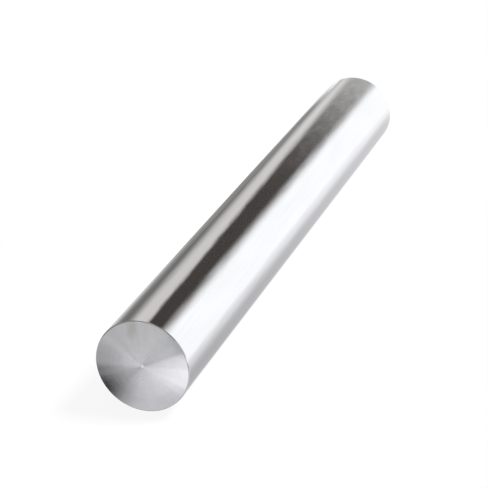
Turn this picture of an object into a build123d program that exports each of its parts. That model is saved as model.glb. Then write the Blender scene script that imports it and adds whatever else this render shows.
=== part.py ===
"""Solid round bar of bright steel, cut to length, lying along X.

The bar is one piece: a ground cylinder with both ends faced square in a lathe, a small 45 degree
edge break round each end, and the shallow centre mark that a facing tool leaves. The origin is on
the bar's axis, halfway along it, so the bar rests on its lowest line, one radius below.
"""

import os

from build123d import *

# Driving dimensions, in millimetres
bar_diameter = 50.0
bar_length = 400.0
edge_break = 0.5
centre_mark_diameter = 2.0
centre_mark_depth = 0.3

with BuildPart() as round_bar:
    # The ground cylinder, grown both ways from the middle of the bar
    with BuildSketch(Plane.YZ):
        Circle(bar_diameter / 2)
    extrude(amount=bar_length / 2, both=True)

    # The two faced ends, found before their edges are broken
    end_planes = [Plane(face) for face in round_bar.faces().filter_by(Axis.X)]
    chamfer(round_bar.edges().filter_by(GeomType.CIRCLE), length=edge_break)

    # A shallow cone at the centre of each end, with its mouth on the face
    with Locations(*end_planes):
        Cone(
            bottom_radius=0,
            top_radius=centre_mark_diameter / 2,
            height=centre_mark_depth,
            align=(Align.CENTER, Align.CENTER, Align.MAX),
            mode=Mode.SUBTRACT,
        )

round_bar.part.label = "round_bar"

os.makedirs("parts", exist_ok=True)
export_step(round_bar.part, "parts/round_bar.step")
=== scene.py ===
"""Dresses the round bar of bright steel and sets it in a plain pale studio.

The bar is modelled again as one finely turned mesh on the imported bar's own sizes: a ground side,
both ends faced in a lathe with their real feed grooves, a softened edge break at each rim and the
mark at each centre. Three metal finishes dress it. A pale floor, a soft surround and the camera of
the photograph follow. All lengths are in metres and all angles in degrees, unless a class says
otherwise.
"""

import logging
import math
from dataclasses import dataclass
from enum import Enum
from typing import Any

import bpy
from mathutils import Matrix, Vector

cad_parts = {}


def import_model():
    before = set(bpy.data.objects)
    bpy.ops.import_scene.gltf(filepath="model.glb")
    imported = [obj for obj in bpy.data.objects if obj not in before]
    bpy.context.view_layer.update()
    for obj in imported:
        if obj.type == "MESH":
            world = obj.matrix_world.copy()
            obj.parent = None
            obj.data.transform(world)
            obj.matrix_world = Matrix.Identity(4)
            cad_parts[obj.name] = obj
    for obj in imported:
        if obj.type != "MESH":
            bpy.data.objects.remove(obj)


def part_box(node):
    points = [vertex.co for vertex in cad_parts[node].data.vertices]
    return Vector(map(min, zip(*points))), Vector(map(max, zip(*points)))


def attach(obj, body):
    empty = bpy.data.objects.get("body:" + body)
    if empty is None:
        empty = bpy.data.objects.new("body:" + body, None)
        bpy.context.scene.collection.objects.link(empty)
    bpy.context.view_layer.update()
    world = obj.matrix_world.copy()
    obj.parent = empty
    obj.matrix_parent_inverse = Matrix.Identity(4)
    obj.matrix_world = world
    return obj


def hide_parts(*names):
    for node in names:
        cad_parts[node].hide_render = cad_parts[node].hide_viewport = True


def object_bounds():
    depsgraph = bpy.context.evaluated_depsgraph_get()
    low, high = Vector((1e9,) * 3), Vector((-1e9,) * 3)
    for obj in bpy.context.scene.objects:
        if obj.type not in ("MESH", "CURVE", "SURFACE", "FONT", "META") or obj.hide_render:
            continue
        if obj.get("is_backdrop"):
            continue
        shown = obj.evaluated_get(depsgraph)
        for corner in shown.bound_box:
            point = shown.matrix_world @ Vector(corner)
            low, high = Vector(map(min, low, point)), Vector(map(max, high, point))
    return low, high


MM = 0.001
TO_DEGREES = 180.0 / math.pi
Triple = tuple[float, float, float]
Colour = tuple[float, float, float]
Span = tuple[float, float]
WHITE: Colour = (1.0, 1.0, 1.0)

# The bar's mesh runs along its own Z. Here that lies along +X, with the mesh's own -X up.
LYING_ALONG_X = Matrix(((0, 0, 1, 0), (0, 1, 0, 0), (-1, 0, 0, 0), (0, 0, 0, 1)))
# The middle of what a noise gives, taken off so that its values lie around 0.
NOISE_MIDDLE = 0.5
# The square of the metal shader's aspect is 1 less this share of its anisotropy.
ANISOTROPY_SHARE = 0.9
# Where a Mix node for colours has its two colours and its result.
LOW_COLOUR, HIGH_COLOUR, MIXED_COLOUR = 6, 7, 2

log = logging.getLogger("round_bar_scene")


class Wire:
    """One output socket of a shader, on which sums are written as Python expressions."""

    def __init__(self, graph: "Graph", socket: bpy.types.NodeSocket | None) -> None:
        """Keeps the graph that the socket belongs to, so that sums can add their nodes."""
        self.graph = graph
        self.socket = socket

    def __add__(self, other: "Wire | float") -> "Wire":
        """Sum of two values."""
        return self.graph.math("ADD", self, other)

    def __sub__(self, other: "Wire | float") -> "Wire":
        """This value less the other."""
        return self.graph.math("SUBTRACT", self, other)

    def __rsub__(self, other: float) -> "Wire":
        """A number less this value."""
        return self.graph.math("SUBTRACT", other, self)

    def __mul__(self, other: "Wire | float") -> "Wire":
        """Product of two values."""
        return self.graph.math("MULTIPLY", self, other)

    def __neg__(self) -> "Wire":
        """This value with its sign turned."""
        return self.graph.math("MULTIPLY", self, -1.0)

    __radd__ = __add__
    __rmul__ = __mul__


class Graph:
    """A shader's node tree and the few ways in which this scene adds nodes to it."""

    def __init__(self, tree: bpy.types.NodeTree) -> None:
        """Starts from an empty tree."""
        self.tree = tree
        tree.nodes.clear()

    def node(
        self,
        kind: str,
        settings: dict[str, Any] | None = None,
        values: dict[str | int, Any] | None = None,
        output: str | int = 0,
    ) -> Wire:
        """Adds one node.

        Args:
            kind: the node's type name.
            settings: the node's own properties, set before its sockets.
            values: a number, colour or wire for each input socket, by name or place.
            output: the output socket to hand back, by name or place.

        Returns:
            The chosen output as a wire, which has no socket where the node ends the tree.
        """
        made = self.tree.nodes.new(kind)
        for name, value in (settings or {}).items():
            setattr(made, name, value)
        for name, value in (values or {}).items():
            if isinstance(value, Wire):
                self.tree.links.new(value.socket, made.inputs[name])
            else:
                made.inputs[name].default_value = value
        return Wire(self, made.outputs[output] if made.outputs else None)

    def math(self, operation: str, first: Wire | float, second: Wire | float = 0.0) -> Wire:
        """A Math node on one or two values."""
        return self.node("ShaderNodeMath", {"operation": operation}, {0: first, 1: second})

    def smooth(self, value: Wire, start: float, end: float) -> Wire:
        """Rises softly with a value.

        Args:
            value: the value that is followed.
            start: where the rise starts.
            end: where it ends.

        Returns:
            A share that goes from 0 to 1 as the value goes from start to end.
        """
        return self.node(
            "ShaderNodeMapRange",
            {"interpolation_type": "SMOOTHSTEP"},
            {"Value": value, "From Min": start, "From Max": end, "To Min": 0.0, "To Max": 1.0},
        )

    def parts(self, vector: Wire) -> tuple[Wire, Wire, Wire]:
        """Takes a vector apart.

        Args:
            vector: the vector.

        Returns:
            Its X, Y and Z.
        """
        first = self.node("ShaderNodeSeparateXYZ", None, {0: vector})
        outputs = first.socket.node.outputs
        return first, Wire(self, outputs[1]), Wire(self, outputs[2])

    def stretched(self, vector: Wire, amounts: Triple) -> Wire:
        """A vector with each of its parts multiplied by its own amount."""
        return self.node("ShaderNodeVectorMath", {"operation": "MULTIPLY"}, {0: vector, 1: amounts})

    def mottle(self, vector: Wire, sizes: Triple, detail: float, roughness: float = 0.5) -> Wire:
        """Soft random values over a surface.

        Args:
            vector: the place.
            sizes: how large the patches are along X, Y and Z.
            detail: how many finer layers of patches are laid over the first.
            roughness: how strong each finer layer is next to the one before.

        Returns:
            Values around 0, from about -0.5 to 0.5.
        """
        noise = self.node(
            "ShaderNodeTexNoise",
            {"noise_dimensions": "3D"},
            {
                "Vector": self.stretched(vector, tuple(1.0 / size for size in sizes)),
                "Scale": 1.0,
                "Detail": detail,
                "Roughness": roughness,
            },
        )
        return noise - NOISE_MIDDLE

    def ripple(self, place: Wire, width: float, detail: float) -> Wire:
        """Soft random values along one line.

        Args:
            place: the place on the line.
            width: about how wide a step is.
            detail: how many finer layers of steps are laid over the first.

        Returns:
            Values around 0, from about -0.5 to 0.5.
        """
        noise = self.node(
            "ShaderNodeTexNoise",
            {"noise_dimensions": "1D"},
            {"W": place * (1.0 / width), "Scale": 1.0, "Detail": detail},
        )
        return noise - NOISE_MIDDLE

    def tint(self, share: Wire, low: Wire | Colour, high: Wire | Colour) -> Wire:
        """Goes from one colour to another.

        Args:
            share: how far it has gone, from 0 to 1.
            low: the colour at 0.
            high: the colour at 1.

        Returns:
            The colour at the share.
        """
        ends = [end if isinstance(end, Wire) else (*end, 1.0) for end in (low, high)]
        values = {"Factor": share, LOW_COLOUR: ends[0], HIGH_COLOUR: ends[1]}
        return self.node("ShaderNodeMix", {"data_type": "RGBA"}, values, MIXED_COLOUR)

    def blend(self, share: Wire, low: Wire, high: Wire) -> Wire:
        """A Mix Shader node, which goes from the low shader to the high one with the share."""
        return self.node("ShaderNodeMixShader", None, {0: share, 1: low, 2: high})

    def tilt(self, height: Wire) -> Wire:
        """The surface's direction as a height in metres tilts it."""
        return self.node("ShaderNodeBump", None, {"Strength": 1.0, "Distance": 1.0, "Height": height})

    def metal(self, colour: Wire, roughness: Wire, others: dict[str, Any] | None = None) -> None:
        """Ends a material's tree with a metal's shader.

        Args:
            colour: the metal's colour.
            roughness: its roughness.
            others: the shader's further sockets, by name.
        """
        values = {"Base Color": colour, "Metallic": 1.0, "Roughness": roughness, **(others or {})}
        shader = self.node("ShaderNodeBsdfPrincipled", None, values)
        self.node("ShaderNodeOutputMaterial", None, {"Surface": shader})


def new_material(name: str) -> tuple[bpy.types.Material, Graph]:
    """Starts a material.

    Args:
        name: the material's name.

    Returns:
        The material and the graph of its empty shader.
    """
    made = bpy.data.materials.new(name)
    made.use_nodes = True
    return made, Graph(made.node_tree)


class Marks(Enum):
    """Which way the cutting marks run, as the turn of the shader's tangent, in whole turns."""

    ROUND_THE_AXIS = 0.25


class Region(Enum):
    """A part of the bar with a finish of its own, as the number of its material slot."""

    SIDE = 0
    END = 1
    CENTRE = 2


@dataclass(frozen=True)
class Relief:
    """One kind of unevenness of the ground side, in soft patches.

    A patch's size is given across the bar, which is also the way round it, and along it.
    """

    across: float
    along: float
    height: float
    detail: float = 0.0
    fineness: float = 0.5

    def values(self, graph: Graph, place: Wire) -> Wire:
        """The relief's soft random values at a place, around 0."""
        sizes = (self.across, self.across, self.along)
        return graph.mottle(place, sizes, self.detail, self.fineness)


@dataclass(frozen=True)
class GroundSide:
    """Finish of the ground side: a soft mirror with fine marks round the bar.

    The marks are crossed by streaks along the bar, by a faint grain, and by ripples and waves
    that make the reflections sway a little.
    """

    colour_low: Colour = (0.79, 0.79, 0.79)
    colour_high: Colour = (0.822, 0.822, 0.827)
    roughness: float = 0.085
    roughness_change: float = 0.02
    anisotropic: float = 0.3
    marks: Relief = Relief(22.0 * MM, 0.30 * MM, 0.00006 * MM, detail=3.0, fineness=0.6)
    streaks: Relief = Relief(1.1 * MM, 45.0 * MM, 0.004 * MM, detail=2.0)
    grain: Relief = Relief(1.4 * MM, 4.0 * MM, 0.010 * MM, detail=1.0)
    ripples: Relief = Relief(3.6 * MM, 16.0 * MM, 0.052 * MM)
    waves: Relief = Relief(9.0 * MM, 36.0 * MM, 0.045 * MM)
    waves_in_colour: float = 0.6
    colour_spread: float = 0.25

    def material(self) -> bpy.types.Material:
        """Builds the finish.

        Returns:
            The material for the bar's side.
        """
        made, graph = new_material("ground_steel")
        place = graph.node("ShaderNodeTexCoord", output="Object")
        marks = self.marks.values(graph, place)
        streaks = self.streaks.values(graph, place)
        grain = self.grain.values(graph, place)
        ripples = self.ripples.values(graph, place)
        waves = self.waves.values(graph, place)
        height = marks * self.marks.height + streaks * self.streaks.height + grain * self.grain.height
        height = height + ripples * self.ripples.height + waves * self.waves.height
        patches = streaks + waves * self.waves_in_colour
        share = graph.smooth(patches, -self.colour_spread, self.colour_spread)
        graph.metal(
            graph.tint(share, self.colour_low, self.colour_high),
            (marks + waves) * self.roughness_change + self.roughness,
            {
                "Anisotropic": self.anisotropic,
                "Anisotropic Rotation": Marks.ROUND_THE_AXIS.value,
                "Normal": graph.tilt(height),
            },
        )
        return made


@dataclass(frozen=True)
class TurnedEnd:
    """Finish of the faced ends: turned rings that throw light out in wedges.

    The rings are fine, in broader bands, and get smoother towards the rim, which ran faster
    under the tool. Each ring's marks shift a little round the end, which splits the wedges.
    Handling has left the end faintly cloudy, with one dull smear near its top. The smear's centre
    and widths are given to the left and upwards, as shares of the radius.
    """

    radius: float
    colour_low: Colour = (0.765, 0.765, 0.765)
    colour_high: Colour = (0.835, 0.835, 0.855)
    colour_spread: float = 0.45
    rings_in_colour: float = 0.5
    smear_colour: Colour = (0.64, 0.64, 0.61)
    smear_centre: Span = (0.20, 0.80)
    smear_width: Span = (0.16, 0.34)
    smear_edge: Span = (0.1, 1.0)
    smear_fray: float = 0.8
    smear_strength: float = 0.75
    blur_centre: float = 0.20
    blur_rim: float = 0.08
    roughness_change: float = 0.03
    anisotropic: float = 0.889
    ring_width: float = 0.35 * MM
    ring_height: float = 0.002 * MM
    ring_detail: float = 3.0
    band_width: float = 2.2 * MM
    band_height: float = 0.006 * MM
    band_detail: float = 1.0
    sectors: float = 3.0
    sector_lean: float = 0.007
    sector_detail: float = 1.0
    cloud_width: float = 7.0 * MM
    cloud_height: float = 0.03 * MM
    cloud_detail: float = 2.0

    def material(self) -> bpy.types.Material:
        """Builds the finish.

        Returns:
            The material for both ends and their edge breaks.
        """
        made, graph = new_material("turned_steel")
        place = graph.node("ShaderNodeTexCoord", output="Object")
        outward = graph.stretched(place, (1.0, 1.0, 0.0))
        radius = graph.node("ShaderNodeVectorMath", {"operation": "LENGTH"}, {0: outward}, "Value")
        heading = graph.node("ShaderNodeVectorMath", {"operation": "NORMALIZE"}, {0: outward})
        rings = graph.ripple(radius, self.ring_width, self.ring_detail)
        bands = graph.ripple(radius, self.band_width, self.band_detail)
        sectors = graph.mottle(heading, (1.0 / self.sectors,) * 3, self.sector_detail)
        clouds = graph.mottle(place, (self.cloud_width,) * 3, self.cloud_detail)
        height = rings * self.ring_height + bands * self.band_height
        height = height + clouds * self.cloud_height + sectors * radius * self.sector_lean
        patches = rings * self.rings_in_colour + bands * self.rings_in_colour + clouds
        share = graph.smooth(patches, -self.colour_spread, self.colour_spread)
        clean = graph.tint(share, self.colour_low, self.colour_high)
        graph.metal(
            graph.tint(self.smear(graph, place, clouds), clean, self.smear_colour),
            self.roughness(graph, radius) + (rings + bands + clouds) * self.roughness_change,
            {
                "Anisotropic": self.anisotropic,
                "Anisotropic Rotation": Marks.ROUND_THE_AXIS.value,
                "Normal": graph.tilt(height),
            },
        )
        return made

    def roughness(self, graph: Graph, radius: Wire) -> Wire:
        """The roughness at a distance from the axis.

        Args:
            graph: the end's shader.
            radius: the distance from the axis.

        Returns:
            The roughness whose blur outwards falls evenly from the centre's to the rim's.
        """
        aspect = math.sqrt(1.0 - ANISOTROPY_SHARE * self.anisotropic)
        change = (self.blur_rim - self.blur_centre) * aspect / self.radius
        return graph.math("SQRT", radius * change + self.blur_centre * aspect)

    def smear(self, graph: Graph, place: Wire, clouds: Wire) -> Wire:
        """How dull the smear makes a place on the end.

        Args:
            graph: the end's shader.
            place: the place in the bar's own frame, whose -X is up.
            clouds: the soft patches that fray the smear's edge.

        Returns:
            The smear's share, from 0 to its full strength.
        """
        upward, left, _ = graph.parts(place)
        across = left * (1.0 / self.radius) - self.smear_centre[0]
        along = -upward * (1.0 / self.radius) - self.smear_centre[1]
        across = across * (1.0 / self.smear_width[0])
        along = along * (1.0 / self.smear_width[1])
        off = graph.math("SQRT", across * across + along * along) + clouds * self.smear_fray
        return (1.0 - graph.smooth(off, *self.smear_edge)) * self.smear_strength


@dataclass(frozen=True)
class BurnishedCentre:
    """Finish of the mark at each end's centre, which the tool has rubbed rather than cut."""

    # The lighter colour is partly the rubbed metal and partly a painted highlight where the end's
    # wedges of light meet.
    colour_low: Colour = (0.86, 0.86, 0.86)
    colour_high: Colour = (0.90, 0.90, 0.905)
    roughness: float = 0.21
    roughness_change: float = 0.06
    speck_width: float = 0.4 * MM
    speck_detail: float = 1.0

    def material(self) -> bpy.types.Material:
        """Builds the finish.

        Returns:
            The material for both centre marks.
        """
        made, graph = new_material("burnished_steel")
        place = graph.node("ShaderNodeTexCoord", output="Object")
        specks = graph.mottle(place, (self.speck_width,) * 3, self.speck_detail)
        colour = graph.tint(specks + NOISE_MIDDLE, self.colour_low, self.colour_high)
        graph.metal(colour, specks * self.roughness_change + self.roughness)
        return made


@dataclass
class RoundBar:
    """The bar as one turned mesh, whose own Z runs along the bar.

    Sizes are real ones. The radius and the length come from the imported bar. An outline's points
    are turned round the axis, one ring of vertices for each.
    """

    radius: float
    length: float
    edge_break: float = 0.5 * MM
    edge_break_angle: float = 45.0
    edge_softening: float = 0.12 * MM
    centre_mark_radius: float = 1.0 * MM
    centre_mark_depth: float = 0.3 * MM
    centre_mark_floor: float = 0.85 * MM
    groove_pitch: float = 0.5 * MM
    groove_depth: float = 0.004 * MM
    groove_crest: float = 0.8
    side_rings: int = 40
    segments: int = 256
    sharp_angle: float = 10.0

    @classmethod
    def from_frame(cls) -> "RoundBar":
        """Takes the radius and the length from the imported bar's box."""
        low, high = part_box("round_bar")
        return cls(radius=(high.z - low.z) / 2, length=high.x - low.x)

    def end_profile(self) -> list[Span]:
        """The end's outline from its centre to the rim.

        Returns:
            Points as (distance from the axis, depth behind the end's plane).
        """
        points = [
            (0.0, self.centre_mark_depth),
            (self.centre_mark_floor, self.centre_mark_depth),
            (self.centre_mark_radius, 0.0),
        ]
        face_radius = self.radius - self.edge_break - self.edge_softening
        count = int((face_radius - self.centre_mark_radius) / self.groove_pitch)
        pitch = (face_radius - self.centre_mark_radius) / count
        for index in range(count):
            start = self.centre_mark_radius + index * pitch
            points.append((start + pitch * self.groove_crest, self.groove_depth))
            points.append((start + pitch, 0.0))
        return points

    def edge_profile(self) -> list[Span]:
        """The softened edge break between the end and the side.

        Returns:
            Points as (distance from the axis, depth behind the end's plane).
        """
        soft = self.edge_softening
        slope = soft * math.cos(math.radians(self.edge_break_angle))
        full = self.edge_break
        return [
            (self.radius - full + soft - slope, soft - slope),
            (self.radius - (soft - slope), full - soft + slope),
            (self.radius, full + soft),
        ]

    def profile(self) -> tuple[list[Span], int, int]:
        """The whole outline, from the centre of the -Z end to the centre of the +Z end.

        Returns:
            The points as (distance from the axis, place along it), and the numbers of the first
            and the last point of the ground side.
        """
        end = self.end_profile() + self.edge_profile()
        half = self.length / 2
        first = [(away, depth - half) for away, depth in end]
        last = [(away, half - depth) for away, depth in reversed(end)]
        start, stop = first[-1][1], last[0][1]
        step = (stop - start) / self.side_rings
        side = [(self.radius, start + step * index) for index in range(1, self.side_rings)]
        return first + side + last, len(first) - 1, len(first) + len(side)

    def vertices(self, points: list[Span]) -> list[Triple]:
        """Turns the outline's points round the axis.

        Args:
            points: the whole outline.

        Returns:
            The -Z end's centre, then each ring's vertices in turn, then the +Z end's centre.
        """
        turns = [2 * math.pi * index / self.segments for index in range(self.segments)]
        made = [(0.0, 0.0, points[0][1])]
        for away, along in points[1:-1]:
            made += [(away * math.cos(turn), away * math.sin(turn), along) for turn in turns]
        made.append((0.0, 0.0, points[-1][1]))
        return made

    def faces(self, rings: int, side: range) -> tuple[list[tuple[int, ...]], list[int]]:
        """Joins the rings to each other and to the two centres.

        Args:
            rings: the number of rings of vertices.
            side: the numbers of the outline's points at which the ground side's bands start.

        Returns:
            The faces as the numbers of their vertices, and the material slot of each.
        """
        top = 1 + rings * self.segments
        last_ring = top - self.segments
        faces, slots = [], []
        for index in range(self.segments):
            after = (index + 1) % self.segments
            faces.append((0, 1 + after, 1 + index))
            faces.append((top, last_ring + index, last_ring + after))
            slots += [Region.CENTRE.value] * 2
        for ring in range(rings - 1):
            near, far = 1 + ring * self.segments, 1 + (ring + 1) * self.segments
            region = Region.SIDE if ring + 1 in side else Region.END
            if ring in (0, rings - 2):
                region = Region.CENTRE
            for index in range(self.segments):
                after = (index + 1) % self.segments
                faces.append((near + index, near + after, far + after, far + index))
                slots.append(region.value)
        return faces, slots

    def build(self) -> bpy.types.Object:
        """Turns the outline round the axis and dresses it.

        Returns:
            The bar as an object, lying along X in the row frame.
        """
        points, side_first, side_last = self.profile()
        faces, slots = self.faces(len(points) - 2, range(side_first, side_last))
        finishes = {
            Region.SIDE: GroundSide(),
            Region.END: TurnedEnd(self.radius),
            Region.CENTRE: BurnishedCentre(),
        }
        mesh = bpy.data.meshes.new("round_bar_turned")
        mesh.from_pydata(self.vertices(points), [], faces)
        for region in Region:
            mesh.materials.append(finishes[region].material())
        mesh.polygons.foreach_set("material_index", slots)
        mesh.polygons.foreach_set("use_smooth", [True] * len(faces))
        mesh.set_sharp_from_angle(angle=math.radians(self.sharp_angle))
        mesh.update()
        bar = bpy.data.objects.new("round_bar_turned", mesh)
        bpy.context.scene.collection.objects.link(bar)
        bar.matrix_world = LYING_ALONG_X
        return bar

    def place(self) -> bpy.types.Object:
        """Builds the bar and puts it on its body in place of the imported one.

        Returns:
            The bar's object.
        """
        bar = self.build()
        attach(bar, "root")
        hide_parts("round_bar")
        return bar


@dataclass
class Surround:
    """The soft studio round the bar, as bands of light that run parallel to it.

    A band's place is its turn from straight up towards the right of the bar's near end. The slant
    is the angle from the bar's far direction, +X. An edge is the plane through the bar that it
    lies in, as the forward, right and up parts of the plane's normal.
    """

    fill: float = 0.20
    softbox: Colour = (1.175, 1.185, 1.21)
    softbox_rise: Span = (7.7, 43.0)
    gap: Colour = (0.064, 0.056, 0.051)
    panel_upper: Colour = (0.72, 0.704, 0.689)
    panel_lower: Colour = (1.01, 0.99, 0.97)
    panel_turn: Span = (53.6, 74.2)
    panel_top: Triple = (0.371, 0.808, -0.282)
    panel_softness: float = 0.038
    left_shade: Colour = (0.186, 0.183, 0.178)
    left_shade_top: Triple = (0.357, 0.869, 0.408)
    left_shade_softness: float = 0.118
    backdrop: Colour = (1.10, 1.10, 1.10)
    backdrop_slant: Span = (27.1, 18.45)
    front_panel: Colour = (1.20, 1.20, 1.21)
    front_left: Colour = (0.30, 0.30, 0.305)
    front_left_turn: Span = (27.7, 37.0)
    front_right: Colour = (0.24, 0.24, 0.245)
    front_right_turn: Span = (0.0, 9.0)
    front_side: Colour = (0.66, 0.66, 0.675)
    front_side_turn: Span = (40.6, 52.2)
    front_top: Colour = (0.30, 0.30, 0.305)
    front_top_height: Span = (0.49, 0.58)
    front_slant: Span = (80.0, 110.0)

    def beyond(self, graph: Graph, direction: Wire, edge: Triple, softness: float) -> Wire:
        """Goes from 0 to 1 across an edge, towards the left of it.

        Args:
            graph: the surround's shader.
            direction: the direction that is looked at.
            edge: the edge's plane.
            softness: half the width of the change, as the sine of an angle.

        Returns:
            The share of what lies beyond the edge.
        """
        forward, right, up = edge
        side = graph.node(
            "ShaderNodeVectorMath",
            {"operation": "DOT_PRODUCT"},
            {0: direction, 1: (forward, -right, up)},
            output="Value",
        )
        return graph.smooth(-side, -softness, softness)

    def left_bands(self, graph: Graph, direction: Wire, turn: Wire) -> Wire:
        """The dark gap overhead, the panel to its left and the shade below the panel.

        Args:
            graph: the surround's shader.
            direction: the direction that is looked at.
            turn: its turn from straight up towards the right.

        Returns:
            The bands' colour.
        """
        panel = self.beyond(graph, direction, self.panel_top, self.panel_softness)
        shade = self.beyond(graph, direction, self.left_shade_top, self.left_shade_softness)
        lower = graph.smooth(-turn, *self.panel_turn)
        colour = graph.tint(panel, self.gap, graph.tint(lower, self.panel_upper, self.panel_lower))
        return graph.tint(shade, colour, self.left_shade)

    def front_parts(self, graph: Graph, turn: Wire, up: Wire) -> Wire:
        """The panel that the near end faces, and what lies beside and above it.

        Args:
            graph: the surround's shader.
            turn: the direction's turn from straight before the near end towards the right.
            up: the direction's upward part.

        Returns:
            The front's colour.
        """
        right_of_panel = graph.smooth(turn, *self.front_right_turn)
        left_of_panel = graph.smooth(-turn, *self.front_left_turn)
        colour = graph.tint(right_of_panel, self.front_panel, self.front_right)
        colour = graph.tint(graph.smooth(turn, *self.front_side_turn), colour, self.front_side)
        colour = graph.tint(left_of_panel, colour, self.front_left)
        return graph.tint(graph.smooth(up, *self.front_top_height), colour, self.front_top)

    def light(self, graph: Graph) -> Wire:
        """The surround's colour in each direction.

        Args:
            graph: the surround's shader.

        Returns:
            The colour that the metal sees there.
        """
        direction = graph.node("ShaderNodeTexCoord", output="Generated")
        forward, left, up = graph.parts(direction)
        turn = graph.math("ARCTAN2", -left, up) * TO_DEGREES
        slant = graph.math("ARCCOSINE", forward) * TO_DEGREES
        front_turn = graph.math("ARCTAN2", -left, -forward) * TO_DEGREES
        softbox = graph.smooth(turn, *self.softbox_rise)
        colour = graph.tint(softbox, self.left_bands(graph, direction, turn), self.softbox)
        front = self.front_parts(graph, front_turn, up)
        colour = graph.tint(graph.smooth(slant, *self.front_slant), colour, front)
        backdrop = graph.smooth(-slant, -self.backdrop_slant[0], -self.backdrop_slant[1])
        return graph.tint(backdrop * (1.0 - softbox), colour, self.backdrop)

    def build(self) -> bpy.types.World:
        """Makes the world: bands for the metal, white for the camera and an even fill otherwise.

        Returns:
            The world, which isn't sampled as a lamp, so that each kind of ray sees its own part.
        """
        world = bpy.data.worlds.new("pale_studio")
        world.use_nodes = True
        world.cycles.sampling_method = "NONE"
        bpy.context.scene.world = world
        graph = Graph(world.node_tree)
        camera = graph.node("ShaderNodeLightPath", output="Is Camera Ray")
        glossy = graph.node("ShaderNodeLightPath", output="Is Glossy Ray")
        bands = graph.node("ShaderNodeBackground", None, {"Color": self.light(graph), "Strength": 1.0})
        white = graph.node("ShaderNodeBackground", None, {"Color": (*WHITE, 1.0), "Strength": 1.0})
        fill = graph.node("ShaderNodeBackground", None, {"Color": (*WHITE, 1.0), "Strength": self.fill})
        seen = graph.blend(camera, graph.blend(glossy, fill, bands), white)
        graph.node("ShaderNodeOutputWorld", None, {"Surface": seen})
        return world


@dataclass(frozen=True)
class PaintedFloorPatch:
    """A painted patch with soft edges on the floor before the near end, which only the metal sees.
    It is painted light where it is pale and painted shade where it is dark.

    Places are counted forwards from the end and to its right.
    """

    near: float
    far: float
    from_right: float
    to_right: float
    softness: float
    colour: Colour

    def past(self, graph: Graph, place: Wire, edge: float) -> Wire:
        """Goes softly from 0 to 1 across one edge of the patch."""
        return graph.smooth(place, edge - self.softness, edge + self.softness)

    def share(self, graph: Graph, front: Wire, right: Wire) -> Wire:
        """How far a place on the floor is on the patch.

        Args:
            graph: the floor's shader.
            front: how far the place is before the near end.
            right: how far it is to the bar's right.

        Returns:
            1 on the patch and 0 off it, with a soft change between.
        """
        inside = self.past(graph, front, self.near) * (1.0 - self.past(graph, front, self.far))
        inside = inside * self.past(graph, right, self.from_right)
        return inside * (1.0 - self.past(graph, right, self.to_right))


# Painted light: a bright pool on the floor before the near end, where the softbox lights it.
PAINTED_LIGHT_PATCH = PaintedFloorPatch(
    near=27.0 * MM,
    far=63.0 * MM,
    from_right=-23.4 * MM,
    to_right=30.0 * MM,
    softness=9.3 * MM,
    colour=(1.12, 1.12, 1.165),
)
# Painted shadow: the bar's shadow on the floor before the near end, on its left.
PAINTED_SHADOW_PATCH = PaintedFloorPatch(
    near=-4.0 * MM,
    far=37.6 * MM,
    from_right=-66.0 * MM,
    to_right=-15.0 * MM,
    softness=14.0 * MM,
    colour=(0.0, 0.0, 0.0),
)
# Painted light: a grey patch further before the near end, on its left, lighter than the floor around
# it.
PAINTED_GREY_PATCH = PaintedFloorPatch(
    near=58.0 * MM,
    far=250.0 * MM,
    from_right=-120.0 * MM,
    to_right=-14.6 * MM,
    softness=9.7 * MM,
    colour=(0.574, 0.574, 0.58),
)


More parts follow.
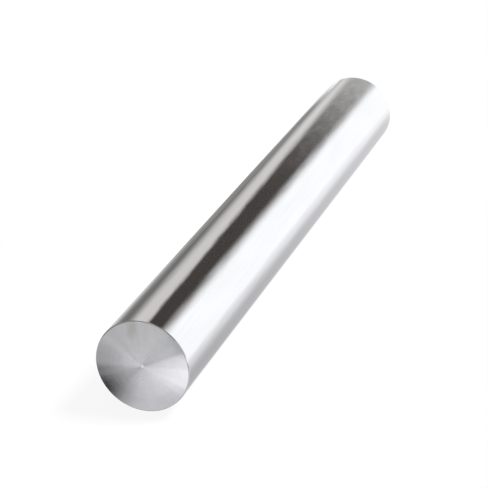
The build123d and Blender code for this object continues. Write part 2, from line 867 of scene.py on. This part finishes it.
@dataclass
class StudioFloor:
    """The plain pale floor that the bar lies on.

    It is matt. The camera sees it lifted nearly to white next to the bar and to white further
    off. The metal sees it as painted light and shade instead: a brightness painted from place to
    place as the studio's softbox, panels and backdrop and the bar's own shade would leave it, and
    the painted patches that lie on it. Places on it are counted from the bar's axis to the left or
    right, and lengthwise from the near end.
    """

    level: float
    bar_half_length: float
    half_width: float = 4.0
    colour: Colour = (0.86, 0.86, 0.86)
    camera_lift: float = 0.90
    camera_fade: float = 160.0 * MM
    right_near: Colour = (0.49, 0.49, 0.508)
    right_far: Colour = (0.695, 0.69, 0.715)
    right_change: Span = (0.0, 500.0 * MM)
    beside_bar: Colour = (0.90, 0.90, 0.92)
    beside_bar_right: Span = (12.0 * MM, 23.0 * MM)
    shoulder_near: Colour = (0.735, 0.735, 0.757)
    shoulder_far: Colour = (1.0, 1.0, 1.03)
    shoulder_right: Span = (33.4 * MM, 67.4 * MM)
    softbox_wash: Colour = (1.175, 1.185, 1.21)
    softbox_wash_right: Span = (45.0 * MM, 142.0 * MM)
    left_near: Colour = (0.704, 0.704, 0.704)
    left_far: Colour = (0.272, 0.270, 0.266)
    left_change: Span = (40.0 * MM, 460.0 * MM)
    shaded_strip: Colour = (0.252, 0.25, 0.247)
    shaded_strip_left: Span = (78.0 * MM, 105.0 * MM)
    shaded_strip_change: Span = (190.0 * MM, 250.0 * MM)
    left_strip: Colour = (0.502, 0.50, 0.494)
    left_strip_left: Span = (86.7 * MM, 116.7 * MM)
    left_strip_change: Span = (357.0 * MM, 457.0 * MM)
    under_bar: float = 15.0 * MM
    end_shade: Colour = (0.20, 0.20, 0.20)
    end_shade_reach: Span = (8.0 * MM, 20.0 * MM)
    end_shade_slope: float = 0.10
    end_shade_right: Span = (8.0 * MM, 20.0 * MM)
    backdrop_wash: Colour = (1.145, 1.145, 1.145)
    backdrop_wash_width: float = 120.0 * MM
    backdrop_slope_left: float = 2.2
    backdrop_start_left: float = -101.2 * MM
    backdrop_slope_right: float = 1.0
    backdrop_start_right: float = -11.2 * MM
    front_near: Colour = (0.63, 0.63, 0.655)
    front_far: Colour = (0.20, 0.20, 0.20)
    front_change: Span = (20.0 * MM, 74.3 * MM)
    front_wash: Colour = (1.10, 1.10, 1.13)
    front_wash_right: Span = (110.0 * MM, 220.0 * MM)
    end_line: float = 2.0 * MM
    painted_patches: tuple[PaintedFloorPatch, ...] = (PAINTED_LIGHT_PATCH, PAINTED_SHADOW_PATCH, PAINTED_GREY_PATCH)

    def camera_share(self, graph: Graph, along: Wire, left: Wire) -> Wire:
        """How far the camera sees the floor lifted to white.

        Args:
            graph: the floor's shader.
            along: the place along the bar, from its middle.
            left: the place to the bar's left.

        Returns:
            The share of white, which grows with the distance from the bar.
        """
        beyond = graph.math("MAXIMUM", graph.math("ABSOLUTE", along) - self.bar_half_length)
        off = graph.math("SQRT", beyond * beyond + left * left)
        return graph.smooth(off, 0.0, self.camera_fade) * (1.0 - self.camera_lift) + self.camera_lift

    def left_side(self, graph: Graph, past_near_end: Wire, left: Wire) -> Wire:
        """The floor on the bar's left, with a shaded strip next to the bar and a lighter one.

        Args:
            graph: the floor's shader.
            past_near_end: the place along the bar, from its near end.
            left: the place to the bar's left.

        Returns:
            The colour that the metal sees there.
        """
        near_to_far = graph.smooth(past_near_end, *self.left_change)
        colour = graph.tint(near_to_far, self.left_near, self.left_far)
        shaded = graph.smooth(past_near_end, *self.shaded_strip_change)
        shaded = shaded * (1.0 - graph.smooth(left, *self.shaded_strip_left))
        colour = graph.tint(shaded, colour, self.shaded_strip)
        strip = graph.smooth(past_near_end, *self.left_strip_change)
        strip = strip * (1.0 - graph.smooth(left, *self.left_strip_left))
        return graph.tint(strip, colour, self.left_strip)

    def right_side(self, graph: Graph, past_near_end: Wire, right: Wire) -> Wire:
        """The floor on the bar's right, before the softbox's own wash.

        Args:
            graph: the floor's shader.
            past_near_end: the place along the bar, from its near end.
            right: the place to the bar's right.

        Returns:
            The colour that the metal sees there.
        """
        near_to_far = graph.smooth(past_near_end, *self.right_change)
        open_floor = graph.tint(near_to_far, self.right_near, self.right_far)
        colour = graph.tint(graph.smooth(right, *self.beside_bar_right), self.beside_bar, open_floor)
        shoulder = graph.tint(near_to_far, self.shoulder_near, self.shoulder_far)
        return graph.tint(graph.smooth(right, *self.shoulder_right), colour, shoulder)

    def own_shade(self, graph: Graph, past_near_end: Wire, right: Wire) -> Wire:
        """How far a place is in the bar's own shade, a slanting strip from under the near end.

        Args:
            graph: the floor's shader.
            past_near_end: the place along the bar, from its near end.
            right: the place to the bar's right.

        Returns:
            The share of shade, from 0 to 1.
        """
        reach = past_near_end + right * self.end_shade_slope
        shaded = 1.0 - graph.smooth(reach, *self.end_shade_reach)
        return shaded * (1.0 - graph.smooth(right, *self.end_shade_right))

    def backdrop_share(self, graph: Graph, past_far_end: Wire, left: Wire, right: Wire) -> Wire:
        """How far the backdrop washes a place past a bent line across the bar.

        Args:
            graph: the floor's shader.
            past_far_end: the place along the bar, from its far end.
            left: the place to the bar's left.
            right: the place to the bar's right.

        Returns:
            The share of the backdrop's wash, from 0 to 1.
        """
        edge = graph.math(
            "MAXIMUM",
            left * self.backdrop_slope_left + self.backdrop_start_left,
            right * self.backdrop_slope_right + self.backdrop_start_right,
        )
        return graph.smooth(past_far_end - edge, 0.0, self.backdrop_wash_width)

    def before_end(self, graph: Graph, front: Wire, right: Wire) -> Wire:
        """The floor before the near end, with the softbox's painted wash far right and the painted
        patches.

        Args:
            graph: the floor's shader.
            front: how far the place is before the near end.
            right: the place to the bar's right.

        Returns:
            The colour that the metal sees there.
        """
        colour = graph.tint(graph.smooth(front, *self.front_change), self.front_near, self.front_far)
        colour = graph.tint(graph.smooth(right, *self.front_wash_right), colour, self.front_wash)
        for painted_patch in self.painted_patches:
            colour = graph.tint(painted_patch.share(graph, front, right), colour, painted_patch.colour)
        return colour

    def reflected(self, graph: Graph, along: Wire, left: Wire) -> Wire:
        """The floor's painted light and shade, as the metal sees it.

        Args:
            graph: the floor's shader.
            along: the place along the bar, from its middle.
            left: the place to the bar's left.

        Returns:
            The colour of the whole floor.
        """
        right = -left
        past_near_end = along + self.bar_half_length
        colour = graph.tint(
            graph.smooth(right, -self.under_bar, self.under_bar),
            self.left_side(graph, past_near_end, left),
            self.right_side(graph, past_near_end, right),
        )
        colour = graph.tint(self.own_shade(graph, past_near_end, right), colour, self.end_shade)
        backdrop = self.backdrop_share(graph, along - self.bar_half_length, left, right)
        colour = graph.tint(backdrop, colour, self.backdrop_wash)
        colour = graph.tint(graph.smooth(right, *self.softbox_wash_right), colour, self.softbox_wash)
        front = -past_near_end
        is_front = graph.smooth(front, -self.end_line, self.end_line)
        return graph.tint(is_front, colour, self.before_end(graph, front, right))

    def material(self) -> bpy.types.Material:
        """Builds the floor's matt finish, its lift to white and the painted light and shade that the
        metal sees of it.

        Returns:
            The floor's material, which lights nothing else.
        """
        made, graph = new_material("pale_floor")
        made.cycles.emission_sampling = "NONE"
        along, left, _ = graph.parts(graph.node("ShaderNodeTexCoord", output="Object"))
        camera = graph.node("ShaderNodeLightPath", output="Is Camera Ray")
        glossy = graph.node("ShaderNodeLightPath", output="Is Glossy Ray")
        lifted = camera * self.camera_share(graph, along, left)
        mirrored = self.reflected(graph, along, left)
        matt = graph.node("ShaderNodeBsdfDiffuse", None, {"Color": (*self.colour, 1.0)})
        white = graph.node("ShaderNodeEmission", None, {"Color": (*WHITE, 1.0), "Strength": 1.0})
        # The metal sees the floor as a painted emission: painted light and shade, which lights nothing
        # else.
        bands = graph.node("ShaderNodeEmission", None, {"Color": mirrored, "Strength": 1.0})
        seen = graph.blend(glossy, graph.blend(lifted, matt, white), bands)
        graph.node("ShaderNodeOutputMaterial", None, {"Surface": seen})
        return made

    def build(self) -> bpy.types.Object:
        """Lays the floor under the bar's lowest line.

        Returns:
            The floor's object.
        """
        mesh = bpy.data.meshes.new("studio_floor")
        half = self.half_width
        corners = [(-half, -half, 0.0), (half, -half, 0.0), (half, half, 0.0), (-half, half, 0.0)]
        mesh.from_pydata(corners, [], [(0, 1, 2, 3)])
        mesh.materials.append(self.material())
        floor = bpy.data.objects.new("studio_floor", mesh)
        bpy.context.scene.collection.objects.link(floor)
        floor.location.z = self.level
        floor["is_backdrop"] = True
        return floor


@dataclass
class SideLamp:
    """A soft lamp on the bar's right, which gives the bar its shadow on the floor.

    The surround already shows the metal its softbox, so the lamp stays out of reflections. The
    heading is counted from the bar's far direction, +X, towards its left.
    """

    heading: float = -70.0
    elevation: float = 58.0
    distance: float = 1.2
    width: float = 0.5
    watts: float = 30.0

    def build(self) -> bpy.types.Object:
        """Hangs the lamp and turns it to the bar.

        Returns:
            The lamp's object.
        """
        heading, elevation = math.radians(self.heading), math.radians(self.elevation)
        level = Vector((math.cos(heading), math.sin(heading), 0.0))
        away = level * math.cos(elevation) + Vector((0.0, 0.0, math.sin(elevation)))
        data = bpy.data.lights.new("side_lamp", "AREA")
        data.shape = "DISK"
        data.size = self.width
        data.energy = self.watts
        lamp = bpy.data.objects.new("side_lamp", data)
        bpy.context.scene.collection.objects.link(lamp)
        lamp.location = away * self.distance
        lamp.rotation_mode = "QUATERNION"
        lamp.rotation_quaternion = away.to_track_quat("Z", "Y")
        lamp.visible_glossy = False
        lamp.visible_camera = False
        return lamp


@dataclass
class PhotoCamera:
    """The photograph's camera, set by where it sees the centre of the bar's near end.

    The bar's heading is how far its far direction turns to the camera's right, and the lens and
    the sensor are in millimetres.
    """

    near_end: Vector
    elevation: float = 23.617
    bar_heading: float = 18.529
    near_end_right: float = -50.53 * MM
    near_end_up: float = -60.89 * MM
    near_end_ahead: float = 889.4 * MM
    lens: float = 132.24
    sensor: float = 36.0

    def build(self) -> bpy.types.Object:
        """Makes the camera and gives it to the scene.

        Returns:
            The camera object.
        """
        heading, tilt = math.radians(self.bar_heading), math.radians(self.elevation)
        right = Vector((math.sin(heading), -math.cos(heading), 0.0))
        level_ahead = Vector((math.cos(heading), math.sin(heading), 0.0))
        ahead = level_ahead * math.cos(tilt) - Vector((0.0, 0.0, math.sin(tilt)))
        upward = right.cross(ahead)
        data = bpy.data.cameras.new("photo_camera")
        data.sensor_width = self.sensor
        data.lens = self.lens
        camera = bpy.data.objects.new("photo_camera", data)
        bpy.context.scene.collection.objects.link(camera)
        offset = right * self.near_end_right + upward * self.near_end_up
        place = self.near_end - offset - ahead * self.near_end_ahead
        turned = Matrix((right, upward, -ahead)).transposed().to_4x4()
        camera.matrix_world = Matrix.Translation(place) @ turned
        bpy.context.scene.camera = camera
        return camera


def main() -> None:
    """Builds the bar, the floor, the surround and the camera in that order."""
    logging.basicConfig(level=logging.INFO, format="%(message)s")
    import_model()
    packed_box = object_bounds()
    low, high = packed_box
    bar = RoundBar.from_frame().place()
    log.info("bar: %s, %d faces", bar.name, len(bar.data.polygons))
    floor = StudioFloor(level=low.z, bar_half_length=high.x).build()
    log.info("floor: %s at %.4f m", floor.name, low.z)
    log.info("surround: %s", Surround().build().name)
    log.info("lamp: %s", SideLamp().build().name)
    camera = PhotoCamera(near_end=Vector((low.x, 0.0, 0.0))).build()
    log.info("camera: %s", camera.name)
    bpy.context.scene.view_settings.view_transform = "Standard"


if __name__ == "__main__":
    main()
